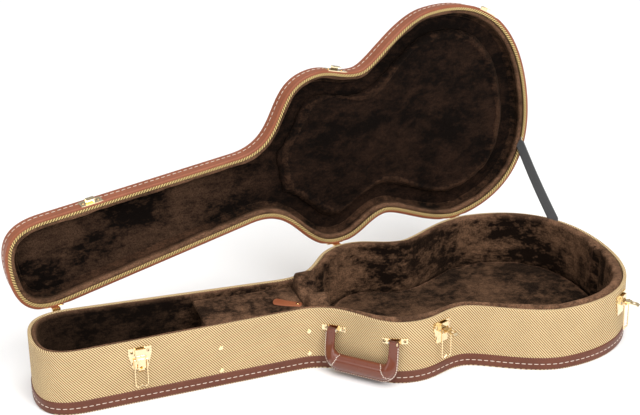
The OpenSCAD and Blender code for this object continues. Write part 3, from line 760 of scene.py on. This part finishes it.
def make_base_lining(mats):
    """Padded wall: a roll along the rim, a crowned face, tucked in at the floor."""
    roll_h = 7.0
    top = RIM - 0.4
    roll = [(WALL, 0.5 + 0.5 * math.cos(a), top - roll_h + roll_h * math.sin(a) ** 0.8)
            for a in np.radians(np.linspace(180, 0, 13))]
    face = []
    for t in np.linspace(0.04, 1, 22):
        z = top - roll_h - (top - roll_h - FLOOR) * t
        face.append((WALL + 2.0 * math.sin(math.pi * t) - 3.5 * max(0.0, t - 0.86) / 0.14, 1.0, z))
    back = [(WALL + 0.2, 0, FLOOR), (WALL + 0.2, 0, top - roll_h - 4)]
    shares = np.array([f for d, f, z in roll + face + back])

    def wobble(grid):
        share = np.ones(grid.shape[1])
        share[-len(back):] = 0
        share[:3] = 0
        share[3:10] = np.linspace(0.15, 0.9, 7)
        sizes = pile(grid, 0.8, 2.0)
        x = ring.points[:, 0]
        shoulder = 1.5 * np.exp(-((x + 5) / 60) ** 2) + 0.35 * np.exp(-((x - 330) / 120) ** 2) + 0.2
        sizes = sizes + folds(grid, 0.12, 17, 1.0, 9.0) * (2.6 * shoulder * ring.pad / 18)[:, None]
        for x0, y0, depth in PLEATS:
            lean = 0.10 * (grid[..., 2] - 60) * (1 if x0 < 400 else 0)
            near = np.exp(-((ring.s - ring.s[outline_place(x0, y0)])[:, None] + lean) ** 2 / 5.5 ** 2)
            sizes = sizes - depth * near
        fall = clamp((grid[..., 2] - FLOOR) / 12)
        limit = np.minimum(ring.pad * 0.3, 3.5 + 2.5 * shoulder)[:, None]
        sizes = np.clip(sizes, -limit, limit) * share * fall
        grid = push_wall(grid, sizes)
        near_rim = clamp((grid[..., 2] - (RIM - 14)) / 10)
        depth = WALL + shares * ring.pad[:, None]
        near_rim *= clamp((depth - LID_LIP + 0.6) / 3.0)
        grid[..., 2] += (roll_rise()[:, None] + pile(grid, 0.35, 71.0)) * near_rim
        return grid

    lining = ring_sweep("base_lining_plush", roll + face + back, mats["plush"], wobble=wobble)
    place(lining, "base", "plush_lining", "base_lining")
    # The welt takes the lighter pile: a painted highlight along the seam.
    make_welt("tail_seam", lining, len(shares), outline_place(*TAIL_SEAM), mats["plush_painted_highlight"])

    def uneven(plan, edge):
        return FLOOR - 0.4 + 0.35 * plan_pile(plan, 0.8, 5.0)

    floor = make_panel("floor_plush", WALL + 0.5, uneven, mats["plush_floor"], lid=False)
    place(floor, "base", "plush_lining", "base_floor_lining")


def make_lid_lining(mats):
    """Lip along the rim, wall and rounded corner, and the ceiling over it."""
    low = RIM + 0.7
    lip = arc(WALL + LID_LINING / 2, low + 3.5, LID_LINING / 2, -3.5, 180, 0, 11)
    wall = [(WALL + LID_LINING, 0, z) for z in np.linspace(low + 5, CEILING - 9, 7)]
    corner = arc(WALL + LID_LINING + 9, CEILING - 9, 9, 8.6, 180, 92, 9)
    back = [(WALL + 14, 0, CEILING + 1), (WALL + 0.3, 0, CEILING), (WALL + 0.3, 0, low + 5)]

    def wobble(grid):
        share = np.ones(grid.shape[1])
        share[:2] = 0
        share[2:8] = np.linspace(0.1, 0.8, 6)
        share[-len(back) - 1:] = 0
        sizes = pile(grid, 0.7, 21.0) + folds(grid, 0.1, 24, 1.3, 14.0)
        grid = push_wall(grid, np.clip(sizes, -2.2, 2.2) * share)
        near_rim = clamp((low + 12 - grid[..., 2]) / 8)
        grid[..., 2] += roll_rise()[:, None] * near_rim
        return grid

    # The lid's lining takes the darker plush: painted shade.
    lining = ring_sweep("lid_lining_plush", lip + wall + corner + back, mats["plush_dark"],
                        lid=True, wobble=wobble)
    place(lining, "lid", "plush_lining", "lid_lining")

    def uneven(plan, edge):
        return CEILING - 0.2 - 0.5 * plan_pile(plan, 0.9, 31.0) * clamp(edge / 14)

    # Painted shade: the ceiling takes the darker plush.
    ceiling = make_panel("lid_ceiling_plush", WALL + 1.0, uneven, mats["plush_shaded_lid"], lid=True)
    place(ceiling, "lid", "plush_lining", "lid_ceiling")


# ------------------------ cushions
CLOTH_FRAMES = 20


def swell(name, source, material, voxel, pressure, cap, finish=None):
    """A stuffed piece from a CAD solid: remeshed, blown up a little as cloth, and smoothed."""
    mesh = frame["nodes"][source].data.copy()
    mesh.name = name
    piece = add_object(name, mesh)
    mesh.materials.clear()
    mesh.materials.append(material)
    bpy.context.view_layer.objects.active = piece
    remesh = piece.modifiers.new("even", "REMESH")
    remesh.mode, remesh.voxel_size, remesh.use_smooth_shade = "VOXEL", voxel * MM, True
    apply_modifiers(piece)
    rest = points_of(piece)
    cloth = piece.modifiers.new("cloth", "CLOTH")
    rules = cloth.settings
    rules.use_pressure, rules.uniform_pressure_force = True, pressure
    rules.effector_weights.gravity = 0
    rules.quality, rules.mass, rules.bending_stiffness = 4, 0.2, 0.6
    rules.tension_stiffness = rules.compression_stiffness = 12
    cloth.collision_settings.use_collision = False
    cloth.point_cache.frame_start, cloth.point_cache.frame_end = 1, CLOTH_FRAMES
    for step in range(1, CLOTH_FRAMES + 1):
        bpy.context.scene.frame_set(step)
    moved = points_of(evaluated(piece))
    piece.modifiers.remove(cloth)
    bpy.context.scene.frame_set(1)
    shift = moved - rest
    size = np.linalg.norm(shift, axis=1)[:, None] + 1e-9
    shift *= np.minimum(1, cap * MM / size)
    set_points(piece, rest + shift)
    soft = piece.modifiers.new("soft", "SMOOTH")
    soft.factor, soft.iterations = 0.5, 6
    piece.modifiers.new("fine", "SUBSURF").levels = 1
    apply_modifiers(piece)
    if finish is not None:
        set_points(piece, finish(points_of(piece) / MM) * MM)
    piece.data.polygons.foreach_set("use_smooth", [True] * len(piece.data.polygons))
    return piece


def lit_ridge(piece, ridge, material):
    """Paints a highlight: the faces near the points where ridge is 1 take another, lighter pile, with a
    ragged edge.
    """
    piece.data.materials.append(material)
    for face in piece.data.polygons:
        level = np.mean([ridge[k] for k in face.vertices])
        ragged = 0.35 * noise.noise(face.center * 60) + 0.35 * noise.noise(face.center * 240)
        face.material_index = int(level + ragged > 0.5)


def points_of(piece):
    co = np.empty(len(piece.data.vertices) * 3, np.float32)
    piece.data.vertices.foreach_get("co", co)
    return co.reshape(-1, 3).astype(float)


def set_points(piece, points):
    piece.data.vertices.foreach_set("co", np.asarray(points, np.float32).ravel())
    piece.data.update()


def evaluated(piece):
    """The piece as its modifiers leave it."""
    return piece.evaluated_get(bpy.context.evaluated_depsgraph_get())


def apply_modifiers(piece):
    mesh = bpy.data.meshes.new_from_object(evaluated(piece))
    old = piece.data
    mesh.name = old.name + "_done"
    piece.modifiers.clear()
    piece.data = mesh
    bpy.data.meshes.remove(old)


def ruffle(amount, seed):
    """Uneven pile on top, as a finish for swell()."""
    def change(points):
        points[:, 2] += pile(points, amount, seed)
        return points
    return change


def rear_hump(height, amount, seed):
    """Uneven pile, and a plump top on the rest's hinge-side half, as a finish for swell()."""
    high = box("neck_rest")[1][2]

    def change(points):
        side = clamp((points[:, 1] - 14) / 22)
        top = clamp((points[:, 2] - (high - 34)) / 30)
        points[:, 2] += height * ease(side) * top + pile(points, amount, seed)
        return points
    return change


def edge_roll(height, inward, width, seed, amount, lid, ridge):
    """Uneven pile, and a soft ridge that follows the edge of a body pad, as a finish for swell().

    The list ridge takes how far each point is on the ridge, from 0 to 1: where lit_ridge paints a
    highlight.
    """
    def change(points):
        flat = shut(points) if lid else points
        centre = (flat[:, :2].max(0) + flat[:, :2].min(0)) / 2
        way = flat[:, :2] - centre
        radius = np.hypot(*way.T)
        slots = 120
        turn = (np.arctan2(way[:, 1], way[:, 0]) / math.pi + 1) / 2 * slots
        reach = np.zeros(slots)
        np.maximum.at(reach, turn.astype(int) % slots, radius)
        reach = (np.roll(reach, 1) + 2 * reach + np.roll(reach, -1)) / 4
        edge = np.interp(turn, np.arange(slots) + 0.5, reach, period=slots)
        rise = np.exp(-((edge - radius - inward) / width) ** 2)
        clear = clamp((CEILING - flat[:, 2] if lid else flat[:, 2] - FLOOR) / 6)
        ridge.extend(rise * clear)
        flat[:, 2] += (height * rise + pile(flat, amount, seed)) * clear * (-1 if lid else 1)
        return opened(flat) if lid else flat
    return change


def make_cushions(mats):
    ridge = []
    finish = edge_roll(2.6, 9, 4, 41.0, 1.3, False, ridge)
    pad = swell("floor_pad_plush", "floor_pad", mats["plush_floor"], 5.0, 3.0, 3.0, finish)
    # Painted highlight along the pad's ridge.
    lit_ridge(pad, ridge, mats["plush_painted_highlight"])
    place(pad, "base", "plush_lining", "floor_pad")

    finish = rear_hump(8.0, 0.5, 47.0)
    rest = swell("neck_rest_plush", "neck_rest", mats["plush_bare"], 3.5, 3.0, 2.5, finish)
    place(rest, "base", "plush_lining", "neck_rest")

    walls = swell("compartment_walls_plush", "compartment_partitions", mats["plush_bare"], 3.0, 1.0, 0.6)
    place(walls, "base", "plush_lining", "compartment_partitions", "compartment_hinge_strip")

    finish = ruffle(0.35, 53.0)
    cover = swell("compartment_lid_plush", "compartment_lid", mats["plush_bare"], 3.0, 1.5, 0.8, finish)
    place(cover, "compartment_cover", "plush_lining", "compartment_lid")

    ridge = []
    finish = edge_roll(4.2, 12, 7, 59.0, 0.9, True, ridge)
    # Painted shade: the pad takes the darker plush.
    lid_pad = swell("lid_pad_plush", "lid_pad", mats["plush_shaded_lid"], 5.0, 3.0, 3.0, finish)
    # Painted highlight along the lid pad's ridge.
    lit_ridge(lid_pad, ridge, mats["plush_edge_painted_highlight"])
    place(lid_pad, "lid", "plush_lining", "lid_pad")


# ------------------------ tubes and straps
def tube(name, path, sections, material):
    """Joins closed sections, one per path point, each an m by 3 array in mm, and caps the ends."""
    n, m = sections.shape[:2]
    loop = sections[n // 2]
    u, v = run(path), run(np.vstack([loop, loop[:1]]))
    corners = grid_faces(n, m, False, True)
    faces = (corners[..., 0] * m + corners[..., 1] % m).tolist()
    faces += [list(range(m))[::-1], list(range((n - 1) * m, n * m))]
    uv = np.stack([u[corners[..., 0]], v[corners[..., 1]]], -1).reshape(-1, 2)
    uv = np.vstack([uv, np.zeros((2 * m, 2))])
    return add_mesh(name, sections.reshape(-1, 3), faces, material, uv)


STRAP_BASE_X, STRAP_LID_X = 499, 507
STRAP_HALF_WIDTH, STRAP_HALF_THICK, STRAP_SAG = 9.9, 0.75, 2.0


def make_stay(mats):
    """Webbing between the base's rim and the lid's, its ends tucked in beside the wall."""
    def end(x, z, lid, inset=WALL + 0.8):
        """A point beside the hinge-side wall at x, and the way along the rim there."""
        front = np.where(ring.points[:, 1] > 0, 0, np.inf)
        i = np.argmin(np.abs(ring.points[:, 0] - x) + front)
        centre = np.array([*ring.inset(inset)[i], z])
        way = np.array([*ring.way[i], 0])
        if lid:
            return opened(centre), opened(centre + way) - opened(centre)
        return centre, way

    low, high = end(STRAP_BASE_X, RIM, False), end(STRAP_LID_X, RIM - 0.6, True, LID_LIP + 0.9)
    deep, far = end(STRAP_BASE_X, RIM - 14, False), end(STRAP_LID_X, RIM + 12, True, LID_LIP + 0.9)
    t = np.linspace(0, 1, 46)[:, None]
    path = low[0] + (high[0] - low[0]) * t
    path[:, 0] -= STRAP_SAG * np.sin(math.pi * t[:, 0])
    wide = low[1] * (1 - t) + high[1] * t
    chord = unit(high[0] - low[0])
    wide = unit(wide - (wide @ chord)[:, None] * chord)
    path = np.vstack([deep[0], path, far[0]])
    wide = np.vstack([wide[:1], wide, wide[-1:]])
    thick = np.cross(wide, chord)
    top = [(STRAP_HALF_WIDTH * c, STRAP_HALF_THICK + 0.1 * (1 - c * c)) for c in np.linspace(-1, 1, 9)]
    outline = top + [(c, -h) for c, h in reversed(top)]
    sections = np.stack([path + wide * c + thick * h for c, h in outline], 1)
    strap = tube("stay_strap_webbing", path, sections, mats["webbing"])
    place(strap, "base", "webbing", "stay_strap")
    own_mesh(strap)


# ------------------------ handle
def handle_frame():
    """A pin's place, the ways along and out, the grip's middle, how far out it is, half its length."""
    pin, axis = joint("handle_swing")
    along = -axis
    out = -np.cross([0, 0, 1], along)
    low, high = box("handle_core")
    lean = abs(along[1])
    length = (high[0] - low[0] - 8 * lean) / abs(along[0])
    middle = (low + high) / 2
    grip_out = (middle - pin) @ out
    return pin, along, out, middle, grip_out, length / 2 - 7.2


def corner_route(x, low, radius, counts):
    """From the pins down one side at x, round a corner and along the bottom at low, to the middle."""
    down, turn, flat = counts
    side = [(x, z) for z in np.linspace(4.2, low + radius, down, endpoint=False)]
    bend = [(x + radius * (1 - math.cos(a)), low + radius * (1 - math.sin(a)))
            for a in np.radians(np.linspace(0, 90, turn))]
    return np.array(side + bend + [(t, low) for t in np.linspace(x + radius, 0, flat)[1:]])


# The rolled grip, the sewn flap outside it, an arm's half thickness, how far its stitches stand out.
GRIP_RADIUS, SEWN_FLAP, ARM_THICK, SEAM_OUT = 11.3, 10.5, 2.7, 1.6


def make_handle(mats):
    """Leather wrap: two flat arms that widen round the corners into a roll, sewn along its outside."""
    pin, along, out, middle, grip_out, half = handle_frame()
    plane = np.array([along, (0, 0, 1)])
    drop = pin[2] - middle[2]
    centre = middle - out * grip_out
    centre[2] = pin[2]
    grip, counts = GRIP_RADIUS, (16, 15, 18)
    outer = corner_route(-half - 11.0, -drop - grip - SEWN_FLAP, 30, counts)
    inner = corner_route(-half + 6.4, -drop + grip, 12, counts)
    outer, inner = (np.vstack([r, (r * [-1, 1])[-2::-1]]) for r in (outer, inner))
    width = np.linalg.norm(inner - outer, axis=1)
    side = (inner - outer) / width[:, None]
    turned = np.abs(np.arange(len(outer)) - (len(outer) - 1) / 2)
    share = ease(clamp((len(outer) / 2 + 1.0 - counts[0] * 0.8 - turned) / (counts[1] - 1.0)))
    mid_z = (outer[:, 1] + inner[:, 1]) / 2
    lean = grip_out * clamp(-mid_z / drop)
    eye = clamp(1 - np.abs(mid_z) / 5.2) ** 0.5
    angles = np.radians(np.linspace(0, 152, 16))
    sections, fronts = [], []
    for k in range(len(outer)):
        fin = 1.8 + 3.4 * share[k]
        half_width = (width[k] - fin) / 2
        thick = max(ARM_THICK + (grip - ARM_THICK) * share[k], 4.1 * eye[k])
        if mid_z[k] > 1.5:
            thick *= max(0.5, 1 - (mid_z[k] - 1.5) / 6)
        power = 0.62 + 0.38 * share[k]
        flange = min(1.5, thick * 0.6)
        half_side = [(fin + half_width * (1 + np.sign(math.cos(a)) * abs(math.cos(a)) ** power),
                      thick * math.sin(a) ** power) for a in angles]
        half_side += [(fin * 0.8, flange * 1.3), (fin * 0.45, flange), (fin * 0.12, flange * 0.85)]
        profile = half_side + [(0.0, 0.0)] + [(a, -b) for a, b in half_side[:0:-1]]
        p = centre + outer[k] @ plane + out * lean[k]
        d = side[k] @ plane
        sections.append([p + d * a + out * b for a, b in profile])
        fronts.append([p + d * a + out * (b + 0.25) for a, b in half_side])
    sections, fronts = np.array(sections), np.array(fronts)
    body = tube("handle_leather", sections.mean(1), sections, mats["handle"])
    place(body, "handle", "leather_handle", "handle_grip", "handle_arm_1", "handle_arm_2", "handle_core")

    def row(name, line, outs, pitch, length):
        """Stitches at even steps along a line of points."""
        s = run(line)
        count = int(s[-1] / pitch)
        marks = (np.arange(count) + 0.6) * s[-1] / (count + 0.2)
        ways = unit(sample(marks, s, np.gradient(line, axis=0)))
        outs = unit(sample(marks, s, outs))
        stitches(name, sample(marks, s, line), ways, outs, length, 0.65, "handle", mats["thread"])

    sewn = centre + (outer + side * (0.9 + 1.1 * share[:, None])) @ plane
    for face, sign in (("front", 1), ("back", -1)):
        line = (sewn + out * (lean[:, None] + sign * SEAM_OUT))[3:-3]
        row("handle_stitching_" + face, line, np.repeat(out[None] * sign, len(line), 0), 4.6, 4.0)
    steps = np.arange(fronts.shape[1])
    corner = counts[0] + counts[1]
    seam = np.linspace(corner - 1, counts[0] + counts[1] // 2, len(steps)).round().astype(int)
    for name, k in (("left", seam), ("right", len(outer) - 1 - seam)):
        line = fronts[k, steps]
        outs = line - (sections[k].mean(1) - out * 4)
        row("handle_wrap_stitching_" + name, line, outs, 3.3, 2.7)


# ------------------------ pull tab
TAB_HALF_WIDTH, TAB_FLARE, TAB_CORNER = 8.2, 3.4, 5.5


def make_pull_tab(mats):
    """Leather strip held by its rivet; the free end lifts a little."""
    rivet_low, rivet_high = box("pull_tab_rivet")
    low, high = box("pull_tab")
    root = np.array([*((rivet_low + rivet_high) / 2)[:2], low[2]])
    tip = np.array([low[0] + 9.5, high[1] - 9.0, low[2]])
    way = unit(tip - root)
    side = np.array([-way[1], way[0], 0])
    length = np.linalg.norm(tip - root)
    across = np.linspace(-1, 1, 13)
    verts = []
    for a in np.linspace(-7.5, length + 9, 30):
        end = min(a + 7.9, length + 9.4 - a)
        round_off = math.sqrt(max(0.02, 1 - (1 - min(end / TAB_CORNER, 1)) ** 2))
        width = (TAB_HALF_WIDTH + TAB_FLARE * clamp(a / length)) * round_off
        lift = 0.2 + 2.0 * clamp((a - 6) / length) ** 2
        row = []
        for face in (1, -1):
            for c in across[::face]:
                edge = math.sqrt(max(0.0, 1 - c ** 8))
                row.append(root + way * a + side * width * c
                           + np.array([0, 0, lift + 1.1 + face * edge - 0.5 * c * c]))
        verts.append(row)
    verts = np.array(verts)
    tab = tube("pull_tab_leather", verts.mean(1), verts, mats["tab"])
    place(tab, "compartment_cover", "leather_tab", "pull_tab")


# ------------------------ hardware
def islands(mesh):
    """Groups of vertices that are joined by edges, as index lists."""
    parent = list(range(len(mesh.vertices)))

    def root(k):
        while parent[k] != k:
            parent[k] = parent[parent[k]]
            k = parent[k]
        return k

    for edge in mesh.edges:
        a, b = (root(k) for k in edge.vertices)
        parent[a] = b
    groups = {}
    for k in range(len(parent)):
        groups.setdefault(root(k), []).append(k)
    return list(groups.values())


# Share of a rivet's radius and height, from its foot over the rolled ring down into the well.
EYELET = [(1.0, 0.0), (1.0, 0.45), (0.93, 0.85), (0.80, 1.0), (0.66, 0.98), (0.55, 0.8), (0.48, 0.45),
          (0.40, 0.2)]
EYELET_SIDES, ROLLED = 18, 5
METAL_EDGE = 0.4


def make_eyelets(mats, source, body):
    """Tubular rivets in place of plain domes: a rolled ring round a well, its darker brass painted shade.
    """
    node = frame["nodes"][source]
    co = points_of(node) / MM
    verts, faces, slots = [], [], []
    for group in islands(node.data):
        part = co[group]
        middle = part.mean(0)
        out = np.linalg.svd(part - middle)[2][2]
        level = (part - middle) @ out
        wide = np.linalg.norm(part - middle - level[:, None] * out, axis=1)
        if wide[level.argmin()] < wide[level.argmax()]:
            out, level = -out, -level
        radius, base, top = wide.max(), level.min(), level.max()
        side = unit(np.cross([0, 0, 1] if abs(out[2]) < 0.9 else [1, 0, 0], out))
        up = np.cross(out, side)
        middle = middle + out * base
        tall = (top - base) * 1.15
        faces += stack_faces(len(verts), len(EYELET), EYELET_SIDES)
        for j in range(len(EYELET) - 1):
            slots += [int(j >= ROLLED)] * EYELET_SIDES
        slots += [0, 1]
        for r, h in EYELET:
            for a in np.arange(EYELET_SIDES) * 2 * math.pi / EYELET_SIDES:
                turned = side * math.cos(a) + up * math.sin(a)
                verts.append(middle + radius * r * turned + out * tall * h)
    piece = add_mesh(source + "_eyelets", np.array(verts), faces, mats["brass"])
    # Painted shade: the faces down in the well take the darker brass.
    piece.data.materials.append(mats["well"])
    piece.data.polygons.foreach_set("material_index", slots)
    place(piece, body, "brass_hardware", source)


def make_hardware(mats):
    """Gives the metal CAD pieces their finish and a small softened edge."""
    steel = ("latch_pins", "handle_pins", "handle_core", "hinge_pins", "stay_anchor_base",
             "stay_anchor_lid")
    for name, node in frame["nodes"].items():
        if node.hide_render or name == "base_panel":
            continue
        node.data.materials.clear()
        node.data.materials.append(mats["steel" if name in steel else "brass"])
        bevel = node.modifiers.new("edge", "BEVEL")
        bevel.width, bevel.segments, bevel.limit_method = METAL_EDGE * MM, 3, "ANGLE"
        bevel.angle_limit = math.radians(40)


def make_floor():
    """The ground that takes the soft shadow."""
    size = 40 / MM
    corners = [(-size, -size, 0), (size, -size, 0), (size, size, 0), (-size, size, 0)]
    look = Shader("floor", Roughness=0.9, Base_Color=(0.96, 0.96, 0.96, 1)).material
    floor = add_mesh("floor", corners, [(0, 1, 2, 3)], look)


make_camera()
make_studio()
make_floor()
mats = make_materials()
make_base_shell(mats)
make_lid_shell(mats)
make_panels(mats)
make_bindings(mats)
make_base_lining(mats)
make_lid_lining(mats)
make_cushions(mats)
make_stay(mats)
make_handle(mats)
make_pull_tab(mats)
for source, body in (("latch_rivets", "base"), ("handle_rivets", "base"), ("hinge_rivets_base", "base"),
                     ("keeper_rivets", "lid"), ("hinge_rivets_lid", "lid")):
    make_eyelets(mats, source, body)
make_hardware(mats)
